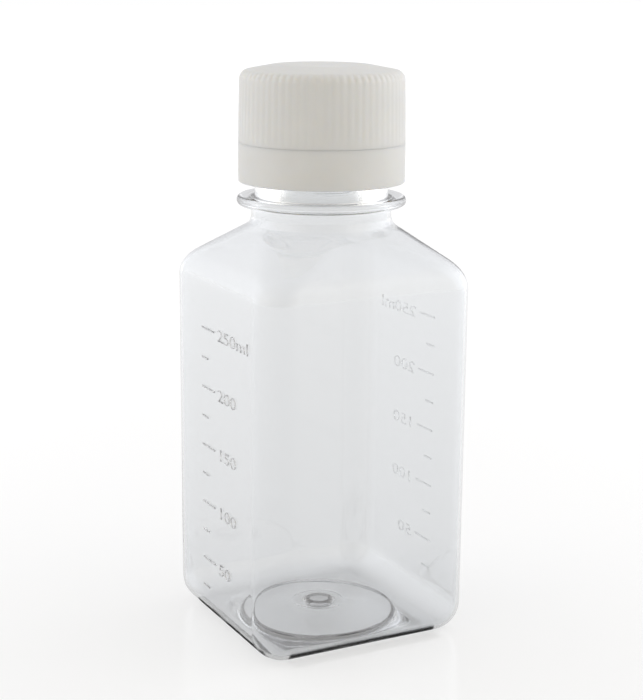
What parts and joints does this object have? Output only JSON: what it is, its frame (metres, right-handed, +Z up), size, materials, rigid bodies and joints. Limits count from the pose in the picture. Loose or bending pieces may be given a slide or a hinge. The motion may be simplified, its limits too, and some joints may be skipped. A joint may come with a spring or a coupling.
{
  "type": "square media bottle",
  "caption": "Clear square bottle with round neck, raised volume scale, support ring and ribbed white screw cap with tamper band and sealing disc.",
  "frame": {"origin": "centre of the base on the surface that the bottle stands on", "axes": "+Z up along the neck's axis; -Y is the face that carries the scale, +Y carries it again"},
  "size_m": [0.059, 0.0596, 0.1451],
  "materials": {
    "clear_plastic": "clear, glossy, colourless",
    "white_plastic": "satin natural white, slightly translucent",
    "liner_foam": "smooth white foamed sheet"
  },
  "bodies": {
    "bottle": {"bottle": "clear_plastic"},
    "disc": {"seal_liner": "liner_foam"},
    "closure": {"cap": "white_plastic"},
    "band": {"tamper_band": "white_plastic"}
  },
  "joints": [
    {"name": "cap_rise", "type": "slide", "parent": "bottle", "child": "disc", "axis": [0, 0, 1], "range_m": [0, 0.0212]},
    {"name": "cap_turn", "type": "hinge", "parent": "disc", "child": "closure", "pos_m": [0, 0, 0.1417], "axis": [0, 0, 1], "range_deg": [0, 1800]},
    {"name": "band_turn", "type": "hinge", "parent": "bottle", "child": "band", "pos_m": [0, 0, 0.1212], "axis": [0, 0, 1], "continuous": true}
  ],
  "couplings": [
    {"joint": "cap_rise", "follows": "cap_turn", "m_per_rad": 0.0006737}
  ]
}
